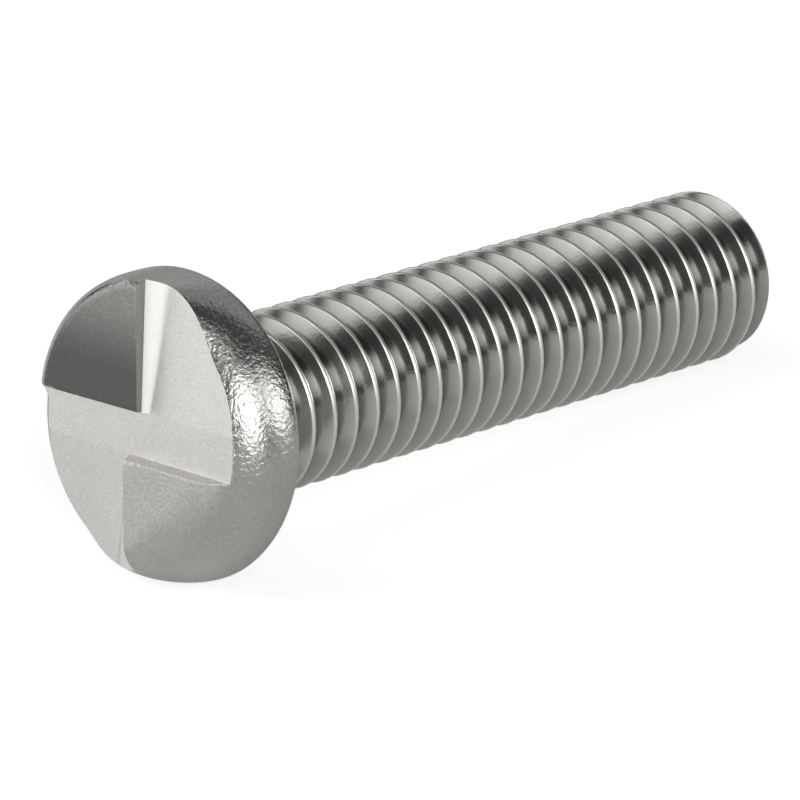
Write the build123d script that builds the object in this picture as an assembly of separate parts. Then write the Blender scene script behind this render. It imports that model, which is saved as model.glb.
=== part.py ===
"""One-way slotted security screw, in millimetres, lying as it comes to rest."""
import os
from math import atan2, ceil, degrees, radians, sqrt, tan

from build123d import *

# Thread
thread_diameter = 4.69
pitch = 0.79375
thread_angle = 60.0
thread_length = 20.9
crest_flat_share = 1 / 8
root_flat_share = 1 / 6
thread_phase = 157.9
collar_length = 0.12
tip_chamfer_length = 0.77
tip_chamfer_depth = 0.55

# Head
head_diameter = 8.06
head_height = 2.13
crown_radius = 28.0
rim_band = 0.07
under_rim_height = 0.33
under_rim_width = 0.38

# One-way recess, with 3 o'clock on +X and 12 o'clock on +Y when seen from above the head
recess_turn = 2.9
slot_width = 1.23
land_overlap = 0.23
floor_depth = 0.42
floor_fall = 2.3
wall_draft = 12.0
cam_width = 0.6
cam_rise = 24.0
cam_fall = 1.3

QUARTER_TURN = 90
HALF_TURN = 180
THREE_QUARTER_TURN = 270
crest_radius = thread_diameter / 2
crest_flat = pitch * crest_flat_share
root_flat = pitch * root_flat_share
flank_slope = tan(radians(thread_angle / 2))
thread_depth = (pitch - crest_flat - root_flat) / 2 / flank_slope
root_radius = crest_radius - thread_depth
head_radius = head_diameter / 2


def head_blank():
    """Low rounded head as headed, before its recess: a flat seat, a full rim and a shallow crown."""
    crown_centre = head_height - crown_radius
    rim_top = under_rim_height + rim_band
    rim_rise = rim_top - crown_centre
    shoulder_radius = (crown_radius**2 - head_radius**2 - rim_rise**2) / 2 / (crown_radius - head_radius)
    share = crown_radius / (crown_radius - shoulder_radius)
    blend = ((head_radius - shoulder_radius) * share, crown_centre + rim_rise * share)
    seat_edge = (head_radius - under_rim_width, 0)
    rim_low = (head_radius, under_rim_height)
    rim_high = (head_radius, rim_top)
    with BuildSketch(Plane.XZ) as section:
        with BuildLine():
            Line((0, head_height), (0, 0))
            Line((0, 0), seat_edge)
            EllipticalCenterArc(
                (seat_edge[0], under_rim_height),
                under_rim_width,
                under_rim_height,
                start_angle=THREE_QUARTER_TURN,
                arc_size=QUARTER_TURN,
            )
            Line(rim_low, rim_high)
            TangentArc(rim_high, blend, tangent=(0, 1))
            TangentArc((0, head_height), blend, tangent=(1, 0))
        make_face()
    return revolve(section.sketch, Axis.Z)


def recess_sector():
    """Metal pressed away from 12 to 3 o'clock: a sloping floor, a drive wall below it, a cam on its left."""
    reach = head_diameter
    corner = slot_width / 2
    floor_z = head_height - floor_depth
    sector = Pos(-land_overlap, -reach, floor_z) * Box(
        2 * reach, 3 * reach, reach, align=(Align.MIN, Align.MIN, Align.CENTER)
    )
    floor = Plane((0, 0, floor_z)).rotated((-floor_fall, 0, 0))
    sector = split(sector, bisect_by=floor, keep=Keep.TOP)
    wall = Plane((0, -corner, floor_z), x_dir=(1, 0, 0), z_dir=(0, 1, 0)).rotated((wall_draft, 0, 0))
    sector = split(sector, bisect_by=wall, keep=Keep.TOP)

    land = Pos(-reach, corner, floor_z) * Box(
        reach + land_overlap, 2 * reach, 2 * reach, align=(Align.MIN, Align.MIN, Align.CENTER)
    )
    cam = Pos(0, corner, floor_z) * Box(
        reach, 2 * reach, 2 * reach, align=(Align.MIN, Align.MIN, Align.CENTER)
    )
    cam_foot = (land_overlap + cam_width, corner, floor_z - corner * tan(radians(floor_fall)))
    cam_face = Plane(cam_foot).rotated((-cam_fall, cam_rise, 0))
    cam = split(cam, bisect_by=cam_face, keep=Keep.BOTTOM)
    return sector - land - cam


def drive_recess():
    """The two pressed sectors, one the half turn of the other."""
    sector = recess_sector()
    pair = sector + Rot(0, 0, HALF_TURN) * sector
    return Rot(0, 0, recess_turn) * pair


def shank():
    """Rolled thread from a short collar under the seat to a chamfered tip: a blank less one helical groove."""
    inside_head = head_height / 4
    with BuildSketch(Plane.XZ) as section:
        with BuildLine():
            Polyline(
                (0, inside_head),
                (crest_radius, inside_head),
                (crest_radius, tip_chamfer_length - thread_length),
                (crest_radius - tip_chamfer_depth, -thread_length),
                (0, -thread_length),
                close=True,
            )
        make_face()
    blank = revolve(section.sketch, Axis.Z)

    clear = thread_depth / 2
    mouth = root_flat / 2 + (thread_depth + clear) * flank_slope
    turn_count = ceil(thread_length / pitch) + 1
    start = -collar_length - mouth - turn_count * pitch
    with BuildSketch(Plane.XZ) as groove_section:
        with BuildLine():
            Polyline(
                (root_radius, start - root_flat / 2),
                (root_radius, start + root_flat / 2),
                (crest_radius + clear, start + mouth),
                (crest_radius + clear, start - mouth),
                close=True,
            )
        make_face()
    turn = Helix(pitch, pitch, root_radius)
    path = Wire([Pos(0, 0, start + index * pitch) * turn for index in range(turn_count)])
    groove = sweep(groove_section.sketch, path=path, is_frenet=True)
    return Rot(0, 0, thread_phase) * (blank - groove)


def upright_screw():
    """The whole screw with its head up, its seat at zero and its axis on Z."""
    return head_blank() - drive_recess() + shank()


def laid_down(screw):
    """Lay the screw along +X, 12 o'clock up, tipped until its rim and its last full crest lie level."""
    side = Plane((0, 0, 0), x_dir=(0, -1, 0), z_dir=(-1, 0, 0)).location
    contact_span = thread_length - tip_chamfer_length + under_rim_height
    lie = degrees(atan2(head_radius - crest_radius, contact_span))
    return Rot(0, lie, 0) * (side * screw)


os.makedirs("parts", exist_ok=True)
security_screw = laid_down(upright_screw())
security_screw.label = "security_screw"
export_step(security_screw, "parts/security_screw.step")
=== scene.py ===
from math import atan2, ceil, cos, hypot, pi, radians, sin, tan

import bmesh
import bpy
from mathutils import Matrix, Vector


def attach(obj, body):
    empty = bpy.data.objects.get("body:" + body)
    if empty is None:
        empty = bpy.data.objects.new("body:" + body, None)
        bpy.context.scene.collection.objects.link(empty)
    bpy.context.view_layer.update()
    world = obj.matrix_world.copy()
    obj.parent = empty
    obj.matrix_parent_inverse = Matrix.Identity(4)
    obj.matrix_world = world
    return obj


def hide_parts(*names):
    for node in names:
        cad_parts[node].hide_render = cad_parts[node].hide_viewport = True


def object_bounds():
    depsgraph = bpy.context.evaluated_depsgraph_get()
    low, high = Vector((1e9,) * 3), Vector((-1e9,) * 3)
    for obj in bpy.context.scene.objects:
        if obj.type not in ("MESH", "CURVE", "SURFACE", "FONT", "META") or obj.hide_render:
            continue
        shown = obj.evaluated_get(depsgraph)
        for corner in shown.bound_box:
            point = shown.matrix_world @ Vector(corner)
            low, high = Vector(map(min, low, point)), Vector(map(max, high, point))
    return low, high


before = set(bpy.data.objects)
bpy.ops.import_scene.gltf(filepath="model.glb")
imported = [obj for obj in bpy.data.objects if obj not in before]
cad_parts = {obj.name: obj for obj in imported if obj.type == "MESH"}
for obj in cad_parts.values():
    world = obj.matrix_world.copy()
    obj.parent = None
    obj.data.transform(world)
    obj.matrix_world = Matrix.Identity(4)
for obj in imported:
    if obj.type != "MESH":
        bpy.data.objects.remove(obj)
cad_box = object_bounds()

MM = 0.001

# Screw dimensions, in millimetres.
THREAD_DIAMETER = 4.69
PITCH = 0.79375
THREAD_LENGTH = 20.9
TIP_CHAMFER_LENGTH = 0.77
TIP_CHAMFER_DEPTH = 0.55
GROOVE_START = -0.643
THREAD_PHASE = 157.9 / 360
HEAD_DIAMETER = 8.06
UNDER_RIM_HEIGHT = 0.33
UNDER_RIM_WIDTH = 0.38

CREST_RADIUS = THREAD_DIAMETER / 2
HEAD_RADIUS = HEAD_DIAMETER / 2
LIE = atan2(HEAD_RADIUS - CREST_RADIUS, THREAD_LENGTH - TIP_CHAMFER_LENGTH + UNDER_RIM_HEIGHT)

# Upright screw (3 o'clock on +X, 12 o'clock on +Y, head up) to the place where it lies, in metres.
SIDE = Matrix(((0, 0, -1), (-1, 0, 0), (0, 1, 0))).to_4x4()
LAY_DOWN = Matrix.Scale(MM, 4) @ Matrix.Rotation(LIE, 4, "Y") @ SIDE

# The head was struck a little out of true: its face leans back and its centre is high.
HEAD_SQUINT = radians(2.4)
HEAD_OFFSET = 0.09
RIM_LEVEL = 0.281
HEAD_PLACE = Matrix.Translation((0, HEAD_OFFSET, RIM_LEVEL)) @ Matrix.Rotation(-HEAD_SQUINT, 4, "X")

# Camera: lens and sensor in millimetres, its place in millimetres, its clip range in metres.
LENS = 279.64
SENSOR_WIDTH = 36.0
CLIP_RANGE = (0.01, 10.0)
CAMERA_PLACE = Vector((-102.9075, -102.0564, 59.7243))
VIEW_RIGHT = Vector((0.67694, -0.73604, -0.00197))
VIEW_DOWN = Vector((-0.27913, -0.25424, -0.92598))
VIEW_FORWARD = Vector((0.68106, 0.62738, -0.37756))

# Head form above the rim, and the angles from 3 o'clock over which a land comes up to full and falls away.
CROWN_HEIGHT = 1.82
CROWN_FLAT = 2.11
LAND_CENTRE = (0.69, 0.47)
LAND_RADIUS = 3.68
LAND_HEIGHT = 1.83
LAND_BEVEL = 0.09
LAND_RISE = 0.075
LAND_INSET = 0.07
LOWER_LAND_SHARE = 0.4
UPPER_LAND_COMES, UPPER_LAND_GOES = (45, 82), (171, 179)
LOWER_LAND_COMES, LOWER_LAND_GOES = (235, 262), (268, 300)
SIDE_CURVE = 2.6
HEAD_STEPS, HEAD_AROUND, UNDER_STEPS = 48, 256, 6
SHOULDER_SHARE, SIDE_SHARE = 0.7, 0.6
SEAM_GAP = 1e-5

# One-way recess.
WALL_TURN = radians(2.4)
CAM_TURN = radians(5.8)
HALF_SLOT = 0.593
LAND_OVERLAP = 0.244
FLOOR_LEVEL = 1.48
FLOOR_FALL = 0.045
WALL_DRAFT = tan(radians(11.0))
CAM_WIDTH_IN = 0.16
CAM_WIDTH_OUT = 1.15
CAM_RISE = 0.17
CAM_STEPS = 7
CAM_CURVE = 1.6
CAM_ROUND = [(k / CAM_STEPS, (1 - k / CAM_STEPS) ** CAM_CURVE) for k in range(CAM_STEPS, -1, -1)]
PUNCH_REACH = 6.0
PUNCH_TOP = 4.5

# The right-hand half of the recess and its half turn, with how much lower the outer end of its cam lies.
HALVES = {1: 0.0, -1: 0.22}

# Edges that are rubbed to a lip or look sharp, and faces by their slope: painted shade on the steep drive
# walls, painted light on the cams.
LIP_WIDTH = 0.06
LIP_ANGLE = radians(24)
SHARP_ANGLE = radians(22)
STEEP = 0.7
CAM_SLOPES = (0.04, 0.2)
FACING_OUT = (0.80, 0.96)
# How much the ironed land's smoother finish and its painted shade fade, and over what span across from the
# slot.
IRONED_SHADE_FADE, IRONED_SHADE_FADE_SPAN = 0.5, (1.4, 3.6)


def add_object(name, bm, finish):
    mesh = bpy.data.meshes.new(name)
    bm.to_mesh(mesh)
    bm.free()
    mesh.materials.append(finish)
    piece = bpy.data.objects.new(name, mesh)
    bpy.context.scene.collection.objects.link(piece)
    return piece


def applied(piece, *tools, operation="DIFFERENCE"):
    """Joins or cuts a piece with the tools, and gives it the mesh that its modifiers make."""
    for tool in tools:
        cut = piece.modifiers.new("cut", "BOOLEAN")
        cut.operation = operation
        cut.solver = "EXACT"
        cut.material_mode = "TRANSFER"
        cut.object = tool
    seen = bpy.context.evaluated_depsgraph_get()
    mesh = bpy.data.meshes.new_from_object(piece.evaluated_get(seen))
    for tool in tools:
        bpy.data.objects.remove(tool)
    piece.modifiers.clear()
    piece.data = mesh
    return piece


def set_camera():
    data = bpy.data.cameras.new("camera")
    data.sensor_width = SENSOR_WIDTH
    data.lens = LENS
    data.clip_start, data.clip_end = CLIP_RANGE
    camera = bpy.data.objects.new("camera", data)
    bpy.context.scene.collection.objects.link(camera)
    turn = Matrix((VIEW_RIGHT, -VIEW_DOWN, -VIEW_FORWARD)).transposed().to_4x4()
    camera.matrix_world = Matrix.Translation(CAMERA_PLACE * MM) @ turn
    bpy.context.scene.camera = camera


# Head

def ease(low, high, x):
    t = min(1.0, max(0.0, (x - low) / (high - low)))
    return t * t * (3 - 2 * t)


def land_share(angle):
    """How far the metal stands up full to the edge of the lands, by angle from 3 o'clock."""
    upper = ease(*UPPER_LAND_COMES, angle) * (1 - ease(*UPPER_LAND_GOES, angle))
    lower = ease(*LOWER_LAND_COMES, angle) * (1 - ease(*LOWER_LAND_GOES, angle))
    return upper + LOWER_LAND_SHARE * lower


def land_edge(angle):
    """Radius of a land's rounded outline, seen from the screw's axis."""
    angle = angle % 180
    x, y = LAND_CENTRE
    along = x * cos(radians(angle)) + y * sin(radians(angle))
    reach = along + (along * along - x * x - y * y + LAND_RADIUS ** 2) ** 0.5
    return min(reach, HEAD_RADIUS - LAND_INSET)


def rounded_section():
    """Half section of the round head: from its rim over an oval shoulder to the middle of the flat crown."""
    shoulder = int(HEAD_STEPS * SHOULDER_SHARE)
    quarter = [pi / 2 * k / shoulder for k in range(shoulder + 1)]
    rise = [(CROWN_FLAT + (HEAD_RADIUS - CROWN_FLAT) * cos(a), CROWN_HEIGHT * sin(a)) for a in quarter]
    crown = HEAD_STEPS - shoulder
    return rise + [(CROWN_FLAT * (1 - k / crown), CROWN_HEIGHT) for k in range(1, crown + 1)]


def full_section(edge):
    """Half section where the land stands full: a nearly upright side, a small bevel and a flat top."""
    side = int(HEAD_STEPS * SIDE_SHARE)
    low = LAND_HEIGHT - LAND_BEVEL
    rise = [sin(pi / 2 * k / side) for k in range(side + 1)]
    crown = HEAD_STEPS - side
    return [(HEAD_RADIUS - (HEAD_RADIUS - edge) * t ** SIDE_CURVE, low * t) for t in rise] + [
        ((edge - LAND_BEVEL) * (1 - (k - 1) / (crown - 1)), LAND_HEIGHT) for k in range(1, crown + 1)
    ]


def head_blank():
    """The headed blank: a spun section, then the metal over the lands brought up towards their full form."""
    bm = bmesh.new()
    section = rounded_section()
    turns = [pi / 2 * (1 - k / UNDER_STEPS) for k in range(1, UNDER_STEPS + 1)]
    under = [
        (HEAD_RADIUS - UNDER_RIM_WIDTH * (1 - sin(a)), UNDER_RIM_HEIGHT * (1 - cos(a)) - RIM_LEVEL)
        for a in turns
    ]
    verts = [bm.verts.new((r, 0, z)) for r, z in section[::-1] + under + [(0, -RIM_LEVEL)]]
    edges = [bm.edges.new(pair) for pair in zip(verts, verts[1:])]
    bmesh.ops.spin(
        bm, geom=verts + edges, axis=(0, 0, 1), angle=2 * pi, steps=HEAD_AROUND, use_merge=True)
    bmesh.ops.remove_doubles(bm, verts=bm.verts, dist=SEAM_GAP)
    for v in bm.verts:
        r = hypot(v.co.x, v.co.y)
        angle = atan2(v.co.y, v.co.x) * 180 / pi % 360
        share = land_share(angle)
        if share <= 0 or v.co.z <= 0 or r < SEAM_GAP:
            continue
        at = min(range(len(section)), key=lambda k: hypot(section[k][0] - r, section[k][1] - v.co.z))
        full_r, full_z = full_section(land_edge(angle))[at]
        new_r = r + (full_r - r) * share
        full_z -= LAND_RISE * new_r * cos(radians(angle)) * full_z / LAND_HEIGHT
        v.co = (v.co.x * new_r / r, v.co.y * new_r / r, v.co.z + (full_z - v.co.z) * share)
    bmesh.ops.recalc_face_normals(bm, faces=bm.faces)
    return bm


def punch():
    """The form that presses both sectors: level slot, falling floors, drafted drive walls, rounded cams."""
    bm = bmesh.new()
    far, top = PUNCH_REACH, PUNCH_TOP
    lean = CAM_TURN - WALL_TURN

    def place(u, v, z, turn, half):
        c, s = cos(turn) * half, sin(turn) * half
        return bm.verts.new((u * c - v * s, u * s + v * c, z))

    def on_wall(u, z, half):
        """Where the line u on the cam's side meets the drive wall's plane at height z."""
        v = (HALF_SLOT + WALL_DRAFT * (z - FLOOR_LEVEL) - u * sin(lean)) / cos(lean)
        return place(u, v, z, CAM_TURN, half)

    far_floor = FLOOR_LEVEL - FLOOR_FALL * (far - HALF_SLOT)
    far_wall = -HALF_SLOT - WALL_DRAFT * (top - FLOOR_LEVEL)
    halves = []
    for half, sink in HALVES.items():
        halves.append({
            "corner": on_wall(LAND_OVERLAP, FLOOR_LEVEL, half),
            "corner_top": on_wall(LAND_OVERLAP, top, half),
            "end": place(far, -HALF_SLOT, FLOOR_LEVEL, WALL_TURN, half),
            "end_top": place(far, far_wall, top, WALL_TURN, half),
            "slot_end": place(far, HALF_SLOT, FLOOR_LEVEL, WALL_TURN, half),
            "far": place(far, far, far_floor, WALL_TURN, half),
            "far_top": place(far, far, top, WALL_TURN, half),
            "cam_top": place(LAND_OVERLAP, far, top, CAM_TURN, half),
            "foot_top": place(LAND_OVERLAP + CAM_WIDTH_OUT, far, top, CAM_TURN, half),
            "inner": [
                on_wall(LAND_OVERLAP + CAM_WIDTH_IN * across, FLOOR_LEVEL + CAM_RISE * rise, half)
                for across, rise in CAM_ROUND
            ],
            "outer": [
                place(
                    LAND_OVERLAP + CAM_WIDTH_OUT * across, far,
                    far_floor + (CAM_RISE - sink) * rise, CAM_TURN, half)
                for across, rise in CAM_ROUND
            ],
        })
    for p, q in (halves, halves[::-1]):
        inner, outer = p["inner"], p["outer"]
        sides = [
            (inner[0], p["slot_end"], p["far"], outer[0]),
            [p["corner"]] + inner,
            (q["corner"], q["inner"][-1], q["corner_top"], p["end_top"], p["end"]),
            (p["end"], p["end_top"], p["far_top"], p["far"], p["slot_end"]),
            (p["far"], p["far_top"], p["foot_top"], outer[0]),
            outer[::-1] + [p["foot_top"], p["cam_top"]],
            (outer[-1], p["cam_top"], p["corner_top"], inner[-1]),
        ]
        sides += [(inner[k], outer[k], outer[k + 1], inner[k + 1]) for k in range(len(CAM_ROUND) - 1)]
        for side in sides:
            bm.faces.new(side)
    p, q = halves
    bm.faces.new((
        q["corner"], p["end"], p["slot_end"], p["inner"][0],
        p["corner"], q["end"], q["slot_end"], q["inner"][0],
    ))
    lid = ("end_top", "far_top", "foot_top", "cam_top", "corner_top")
    bm.faces.new([h[name] for h in halves for name in lid])
    bmesh.ops.recalc_face_normals(bm, faces=bm.faces)
    return bm


def struck_head():
    """The headed blank with both sectors pressed, its lips bevelled, and its steep walls and cams marked for
    painted shade and painted light.
    """
    blank = add_object("head", head_blank(), headed_steel())
    head = applied(blank, add_object("punch", punch(), pressed_steel()))
    bm = bmesh.new()
    bm.from_mesh(head.data)
    weight = bm.edges.layers.float.new("bevel_weight_edge")
    painted_shade_wall, painted_light_cam = bm.faces.layers.float.new("painted_shade_wall"), bm.faces.layers.float.new("painted_light_cam")
    for edge in bm.edges:
        edge[weight] = float(edge.is_convex and edge.calc_face_angle(0) > LIP_ANGLE)
    for face in bm.faces:
        # Painted shade on the steep drive walls and painted light on the sloping cams, chosen by which way
        # each face points.
        if face.material_index == 1:
            face[painted_shade_wall] = float(abs(face.normal.x) > STEEP)
            face[painted_light_cam] = ease(*CAM_SLOPES, abs(face.normal.x)) * float(face.normal.z > STEEP)
    bm.to_mesh(head.data)
    bm.free()
    head.data.materials.append(lip_wear_and_highlight_steel())
    lips = head.modifiers.new("lips", "BEVEL")
    lips.width = LIP_WIDTH
    lips.segments = 2
    lips.limit_method = "WEIGHT"
    lips.material = 2
    head = applied(head)
    head.data.transform(HEAD_PLACE)
    return head


# Thread

CREST_ROUND = 0.09
ROOT_ROUND = 0.127
FLANK = radians(60)
THREAD_DEPTH = PITCH / 2 * tan(FLANK) - CREST_ROUND - ROOT_ROUND
THREAD_AROUND = 48
THREAD_SEAM_GAP = 1e-4
CHAMFER_CURVE = 1.5


def thread_side(steps=4):
    """Rolled profile from mid crest to mid root: how far along the screw, and how far down from the crest."""
    turns = [FLANK * k / steps for k in range(steps + 1)]
    crest = [(CREST_ROUND * sin(a), CREST_ROUND * (1 - cos(a))) for a in turns]
    root = [(PITCH / 2 - ROOT_ROUND * sin(a), THREAD_DEPTH - ROOT_ROUND * (1 - cos(a))) for a in turns]
    return crest + root[::-1]


def rolled_thread():
    """The shank: a thread's profile spun up the screw, cut level at both ends, its tip rounded off."""
    bm = bmesh.new()
    turns = ceil(THREAD_LENGTH / PITCH) + 3
    low = -THREAD_LENGTH - 1.5 * PITCH
    crest = low + (GROOVE_START - PITCH * THREAD_PHASE + PITCH / 2 - low) % PITCH
    side = thread_side()
    profile = [(-along, down) for along, down in side[::-1]] + side[1:]
    verts = [bm.verts.new((CREST_RADIUS - down, 0, crest + along)) for along, down in profile]
    edges = [bm.edges.new(pair) for pair in zip(verts, verts[1:])]
    bmesh.ops.spin(
        bm, geom=verts + edges, axis=(0, 0, 1), dvec=(0, 0, PITCH / THREAD_AROUND),
        angle=2 * pi * turns, steps=THREAD_AROUND * turns, use_merge=False)
    bmesh.ops.remove_doubles(bm, verts=bm.verts, dist=THREAD_SEAM_GAP)
    for level, outward in ((-THREAD_LENGTH, -1), (UNDER_RIM_HEIGHT, 1)):
        cut = bmesh.ops.bisect_plane(
            bm, geom=bm.verts[:] + bm.edges[:] + bm.faces[:], dist=1e-6, plane_co=(0, 0, level),
            plane_no=(0, 0, outward), clear_outer=True)
        rim = [e for e in cut["geom_cut"] if isinstance(e, bmesh.types.BMEdge)]
        bmesh.ops.contextual_create(bm, geom=rim)
    for v in bm.verts:
        r = hypot(v.co.x, v.co.y)
        below = max(0.0, TIP_CHAMFER_LENGTH - THREAD_LENGTH - v.co.z)
        limit = CREST_RADIUS - TIP_CHAMFER_DEPTH * (below / TIP_CHAMFER_LENGTH) ** CHAMFER_CURVE
        if r > limit:
            v.co.x *= limit / r
            v.co.y *= limit / r
    bmesh.ops.recalc_face_normals(bm, faces=bm.faces)
    return bm


# Finishes: steel levels from dark to bright, roughnesses, and grains by size and depth in millimetres.

# The ironed land's level is painted shade: a darker colour in place of the shade on that land.
HEADED_LEVELS, IRONED_SHADE_LEVEL = (0.58, 0.70), 0.19
HEADED_ROUGHNESS, BEADED_ROUGHNESS, IRONED_ROUGHNESS = (0.18, 0.28), (0.38, 0.56), (0.20, 0.34)
# The cam level is painted light and the wall level is painted shade.
PRESSED_LEVELS, CAM_LIGHT_LEVEL, WALL_SHADE_LEVEL = (0.78, 0.88), 0.96, 0.3
PRESSED_ROUGHNESS = (0.38, 0.58)
# The lip levels are partly rubbed wear and partly a painted highlight along the edges.
LIP_WEAR_AND_HIGHLIGHT_LEVELS, LIP_ROUGHNESS = (0.82, 0.94), (0.42, 0.60)
# The root level is painted shade and the crest level a painted highlight.
ROOT_SHADE_LEVEL, FLANK_LEVEL, CREST_HIGHLIGHT_LEVEL = 0.36, 0.70, 0.95
FLANK_ROUGHNESS, CREST_ROUGHNESS = (0.11, 0.22), 0.4
CREST_BAND = (0.93, 0.97)
STREAK, STREAK_LEVELS = 0.25, (0.5, 1.0)
DRIFT_SIZE, MOTTLE_SIZE, RUB_SIZE, STREAK_SIZE = 1.6, 1.1, 0.3, 0.9
LAND_BEAD_SIZE, PRESSED_BEAD_SIZE, BEAD_DEPTH = 0.08, 0.06, 0.008
PEEL_SIZE, PEEL_TWIST, PEEL_DEPTH = 0.115, 0.4, 0.02
PEEL_STRENGTHS = (1.0, 0.1)
SCUFF_SIZE, SCUFF_DEPTH = 0.09, 0.004
# Painted shade in the low spots of the beaded grain: its strength, the grain range it spans, and how dark it
# goes on each steel.
PIT_SHADE, PIT_SHADE_SPREAD = 0.3, (-0.6, 1.6)
LAND_PIT_SHADE_LEVEL, PRESSED_PIT_SHADE_LEVEL = 0.2, 0.3


def new_material(name):
    material = bpy.data.materials.new(name)
    material.use_nodes = True
    return material, material.node_tree, material.node_tree.nodes["Principled BSDF"]


def add_node(tree, kind, settings=None, **sockets):
    node = tree.nodes.new(kind)
    for key, value in (settings or {}).items():
        setattr(node, key, value)
    for key, value in sockets.items():
        socket = node.inputs[int(key[1:])] if key[1:].isdigit() else node.inputs[key.replace("_", " ")]
        if isinstance(value, bpy.types.NodeSocket):
            tree.links.new(value, socket)
        else:
            socket.default_value = value
    return node


def grain(tree, size, detail, distortion=0.0):
    """Noise over the piece's own place, with features of the given size in millimetres."""
    place = add_node(tree, "ShaderNodeTexCoord").outputs["Object"]
    return add_node(
        tree, "ShaderNodeTexNoise", Vector=place, Scale=1 / (size * MM), Detail=detail,
        Distortion=distortion).outputs["Fac"]


def graded(tree, value, low, high):
    return add_node(tree, "ShaderNodeMapRange", i0=value, i3=low, i4=high).outputs[0]


def mixed(tree, share, low, high):
    """Mix of two numbers or sockets by share."""
    return add_node(tree, "ShaderNodeMix", i0=share, i2=low, i3=high).outputs[0]


def tinted(tree, share, low, high):
    """Mix of two colours by share."""
    return add_node(tree, "ShaderNodeMix", {"data_type": "RGBA"}, i0=share, i6=low, i7=high).outputs[2]


def marked(tree, name):
    return add_node(tree, "ShaderNodeAttribute", {"attribute_name": name}).outputs["Fac"]


def steel_colour(level):
    return (level, level * 0.985, level * 0.945, 1)


def steel_between(tree, share, low, high):
    return tinted(tree, share, steel_colour(low), steel_colour(high))


def pit_shaded(tree, bead, colour, dark):
    """The colour, with painted shade dimming the low spots of its beaded grain towards a darker steel."""
    dimmed = tinted(tree, PIT_SHADE, colour, steel_colour(dark))
    return tinted(tree, graded(tree, bead, *PIT_SHADE_SPREAD), dimmed, colour)


def bare_steel(name):
    material, tree, steel = new_material(name)
    steel.inputs["Metallic"].default_value = 1.0
    return material, tree, steel.inputs


def headed_steel():
    """Cold headed: beaded on the lands, one land ironed smooth and darkened by painted shade, orange peel on
    the shoulder.
    """
    material, tree, steel = bare_steel("headed_steel")
    struck, ironed_and_shaded = marked(tree, "struck"), marked(tree, "ironed_and_shaded")
    drift = grain(tree, DRIFT_SIZE, 3.0)
    bead = grain(tree, LAND_BEAD_SIZE, 3.0)
    peel = grain(tree, PEEL_SIZE, 3.0, PEEL_TWIST)
    # Painted shade in the low spots of the beaded grain.
    colour = pit_shaded(tree, bead, steel_between(tree, drift, *HEADED_LEVELS), LAND_PIT_SHADE_LEVEL)
    # Painted shade: the ironed land's colour is darkened.
    colour = tinted(tree, ironed_and_shaded, colour, steel_colour(IRONED_SHADE_LEVEL))
    tree.links.new(colour, steel["Base Color"])
    lands = mixed(tree, ironed_and_shaded, graded(tree, bead, *BEADED_ROUGHNESS), graded(tree, bead, *IRONED_ROUGHNESS))
    tree.links.new(mixed(tree, struck, graded(tree, drift, *HEADED_ROUGHNESS), lands), steel["Roughness"])
    beads = add_node(tree, "ShaderNodeBump", Strength=1.0, Distance=BEAD_DEPTH * MM, Height=bead)
    peeled = add_node(
        tree, "ShaderNodeBump", Strength=graded(tree, struck, *PEEL_STRENGTHS), Distance=PEEL_DEPTH * MM,
        Height=peel, Normal=beads.outputs[0])
    tree.links.new(peeled.outputs[0], steel["Normal"])
    return material


def pressed_steel():
    """Pressed by the recess punch: bright and satin, with painted light on the cams and painted shade on the
    steep sides.
    """
    material, tree, steel = bare_steel("pressed_steel")
    painted_shade_wall, painted_light_cam = marked(tree, "painted_shade_wall"), marked(tree, "painted_light_cam")
    bead = grain(tree, PRESSED_BEAD_SIZE, 3.0)
    mottle_with_painted_light_and_shade = steel_between(tree, grain(tree, MOTTLE_SIZE, 3.0), *PRESSED_LEVELS)
    # Painted shade in the low spots of the beaded grain.
    mottle_with_painted_light_and_shade = pit_shaded(tree, bead, mottle_with_painted_light_and_shade, PRESSED_PIT_SHADE_LEVEL)
    # Painted light brightens the cams and painted shade darkens the steep walls.
    mottle_with_painted_light_and_shade = tinted(tree, painted_light_cam, mottle_with_painted_light_and_shade, steel_colour(CAM_LIGHT_LEVEL))
    tree.links.new(tinted(tree, painted_shade_wall, mottle_with_painted_light_and_shade, steel_colour(WALL_SHADE_LEVEL)), steel["Base Color"])
    tree.links.new(graded(tree, bead, *PRESSED_ROUGHNESS), steel["Roughness"])
    beads = add_node(tree, "ShaderNodeBump", Strength=0.6, Distance=BEAD_DEPTH * MM, Height=bead)
    tree.links.new(beads.outputs[0], steel["Normal"])
    return material


def lip_wear_and_highlight_steel():
    """Edges of the recess and lands, rubbed bright and given a painted highlight."""
    material, tree, steel = bare_steel("lip_wear_and_highlight_steel")
    rub = grain(tree, RUB_SIZE, 2.0)
    tree.links.new(steel_between(tree, rub, *LIP_WEAR_AND_HIGHLIGHT_LEVELS), steel["Base Color"])
    tree.links.new(graded(tree, rub, *LIP_ROUGHNESS), steel["Roughness"])
    return material


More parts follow.
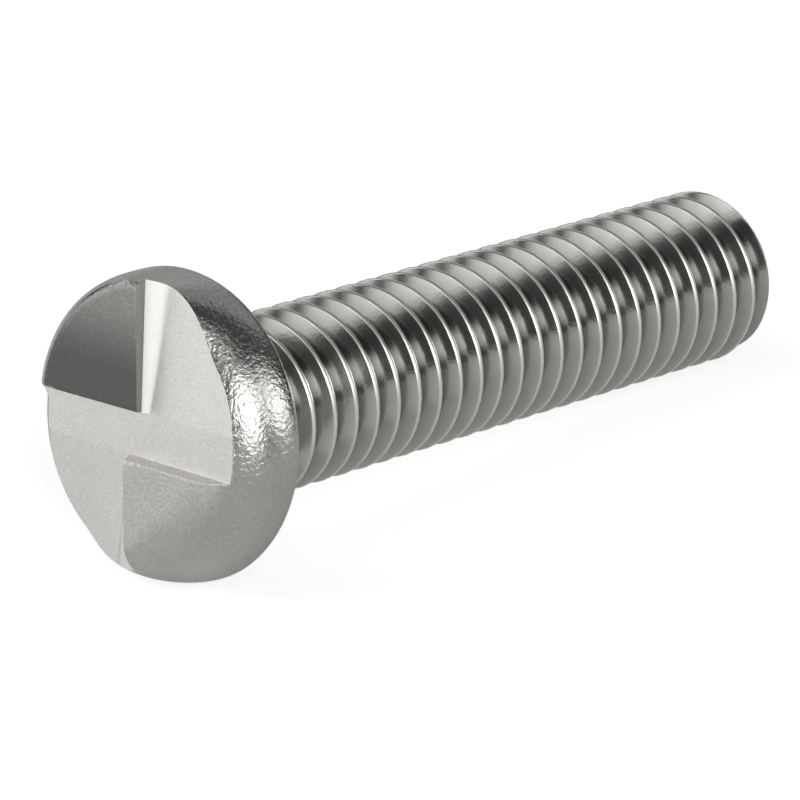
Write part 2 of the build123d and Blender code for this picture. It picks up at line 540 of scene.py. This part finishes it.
def rolled_steel():
    """Rolled thread: smooth, darkened by painted shade in its roots and brightened by a painted highlight
    along its crest, with faint streaks.
    """
    material, tree, steel = bare_steel("rolled_steel")
    height = marked(tree, "height")
    streak = grain(tree, STREAK_SIZE, 4.0)
    # Painted shade darkens the thread towards its roots; a painted highlight brightens its crest.
    flank = steel_between(tree, height, ROOT_SHADE_LEVEL, FLANK_LEVEL)
    low, high = CREST_BAND
    crest = add_node(tree, "ShaderNodeMapRange", i0=height, i1=low, i2=high, i3=0.0, i4=1.0).outputs[0]
    colour = tinted(tree, crest, flank, steel_colour(CREST_HIGHLIGHT_LEVEL))
    streaked_shade_and_highlight = add_node(
        tree, "ShaderNodeMix", {"data_type": "RGBA", "blend_type": "MULTIPLY"}, i0=STREAK, i6=colour,
        i7=steel_between(tree, streak, *STREAK_LEVELS)).outputs[2]
    tree.links.new(streaked_shade_and_highlight, steel["Base Color"])
    roughness = mixed(tree, crest, graded(tree, streak, *FLANK_ROUGHNESS), CREST_ROUGHNESS)
    tree.links.new(roughness, steel["Roughness"])
    scuff = grain(tree, SCUFF_SIZE, 3.0)
    bump = add_node(tree, "ShaderNodeBump", Strength=0.6, Distance=SCUFF_DEPTH * MM, Height=scuff)
    tree.links.new(bump.outputs[0], steel["Normal"])
    return material


# Whole screw

def security_screw():
    """Head and shank as one closed skin, laid down, with its sharp edges, lands and thread height marked."""
    shank = add_object("shank", rolled_thread(), rolled_steel())
    screw = applied(struck_head(), shank, operation="UNION")
    screw.name = "security_screw_steel"
    bm = bmesh.new()
    bm.from_mesh(screw.data)
    bm.normal_update()
    struck, ironed_and_shaded, height = [bm.verts.layers.float.new(name) for name in ("struck", "ironed_and_shaded", "height")]
    upright = HEAD_PLACE.inverted()
    for v in bm.verts:
        u, across, level = upright @ v.co
        v[struck] = ease(*FACING_OUT, v.normal.z)
        # Painted shade and a smoother finish on the ironed land, strongest near the slot and fading further
        # across.
        if u < LAND_OVERLAP + LIP_WIDTH and across > HALF_SLOT and level > LAND_HEIGHT - LAND_BEVEL:
            v[ironed_and_shaded] = v[struck] * (1 - IRONED_SHADE_FADE * ease(*IRONED_SHADE_FADE_SPAN, across))
        v[height] = 1 - (CREST_RADIUS - hypot(v.co.x, v.co.y)) / THREAD_DEPTH
    for face in bm.faces:
        face.smooth = True
    for edge in bm.edges:
        if len(edge.link_faces) == 2 and edge.calc_face_angle(0) > SHARP_ANGLE:
            edge.smooth = False
    bm.to_mesh(screw.data)
    bm.free()
    screw.data.transform(LAY_DOWN)
    shading = screw.modifiers.new("even_shading", "WEIGHTED_NORMAL")
    shading.keep_sharp = True
    shading.weight = 80
    return screw


# Studio

PAPER_COLOUR = (0.85, 0.85, 0.85, 1)
PAPER_HALF_SIDE = 0.5
PAPER_GLOW = 0.66
PAPER_GLOW_IN_STEEL = 0.045
ROOM_LEVEL = 0.03
ROOM_GLOW_IN_STEEL = 0.01


def seen_white(tree, share_in_steel):
    """Whether the backdrop is seen straight or through glass, and how much of its white the steel mirrors."""
    path = add_node(tree, "ShaderNodeLightPath").outputs
    straight = add_node(
        tree, "ShaderNodeMath", {"operation": "MAXIMUM"}, i0=path["Is Camera Ray"],
        i1=path["Is Transmission Ray"])
    mirrored = add_node(
        tree, "ShaderNodeMath", {"operation": "MULTIPLY"}, i0=path["Is Glossy Ray"], i1=share_in_steel)
    return straight.outputs[0], mirrored.outputs[0]


def paper_floor():
    material, tree, paper = new_material("white_paper")
    material.cycles.emission_sampling = "NONE"
    paper.inputs["Base Color"].default_value = PAPER_COLOUR
    paper.inputs["Roughness"].default_value = 1.0
    paper.inputs["Specular IOR Level"].default_value = 0.0
    paper.inputs["Emission Color"].default_value = (1, 1, 1, 1)
    straight, mirrored = seen_white(tree, PAPER_GLOW_IN_STEEL)
    glow = add_node(
        tree, "ShaderNodeMath", {"operation": "MULTIPLY_ADD"}, i0=straight, i1=PAPER_GLOW, i2=mirrored)
    tree.links.new(glow.outputs[0], paper.inputs["Emission Strength"])
    bm = bmesh.new()
    level = Matrix.Translation((0, 0, cad_box[0].z))
    bmesh.ops.create_grid(bm, x_segments=1, y_segments=1, size=PAPER_HALF_SIDE, matrix=level)
    return add_object("floor", bm, material)


# Soft boxes: azimuth from +X and elevation in degrees, half width in degrees, brightness.
SOFT_BOXES = {
    "key": (232, 20, 20, 3.2),
    "key_above": (238, 30, 22, 1.8),
    "front_low": (240, 4, 15, 1.5),
    "right": (280, 28, 22, 1.6),
    "right_low": (292, 14, 17, 2.4),
    "facing_head": (180, 4, 16, 5.4),
    "left": (147, 16, 18, 2.5),
    "left_low": (120, 4, 15, 7.0),
    "left_high": (150, 46, 24, 0.9),
    "top": (180, 64, 27, 0.8),
    "back_left": (100, 30, 19, 1.1),
    "back_right": (45, 25, 30, 0.45),
    "back_high": (0, 46, 24, 0.35),
}


def studio_light():
    """A studio with a white backdrop and soft boxes round the screw, each fading towards its edge."""
    world = bpy.data.worlds.new("studio")
    bpy.context.scene.world = world
    world.use_nodes = True
    tree = world.node_tree
    toward = add_node(
        tree, "ShaderNodeVectorMath", {"operation": "NORMALIZE"},
        i0=add_node(tree, "ShaderNodeTexCoord").outputs["Generated"]).outputs["Vector"]
    total = ROOM_LEVEL
    for azimuth, elevation, spread, strength in SOFT_BOXES.values():
        a, e = radians(azimuth), radians(elevation)
        facing = add_node(
            tree, "ShaderNodeVectorMath", {"operation": "DOT_PRODUCT"}, i0=toward,
            i1=(cos(e) * cos(a), cos(e) * sin(a), sin(e))).outputs["Value"]
        box = add_node(
            tree, "ShaderNodeMapRange", {"interpolation_type": "SMOOTHSTEP"}, i0=facing,
            i1=cos(radians(spread)), i2=1.0, i3=0.0, i4=strength).outputs[0]
        total = add_node(tree, "ShaderNodeMath", {"operation": "ADD"}, i0=box, i1=total).outputs[0]
    straight, mirrored = seen_white(tree, ROOM_GLOW_IN_STEEL)
    total = add_node(tree, "ShaderNodeMath", {"operation": "ADD"}, i0=mirrored, i1=total).outputs[0]
    tree.links.new(mixed(tree, straight, total, 1.0), tree.nodes["Background"].inputs["Strength"])
    tree.nodes["Background"].inputs["Color"].default_value = (1, 1, 1, 1)


set_camera()
screw = security_screw()
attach(screw, "root")
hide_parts("security_screw")
paper_floor()
studio_light()
bpy.context.scene.view_settings.view_transform = "Standard"
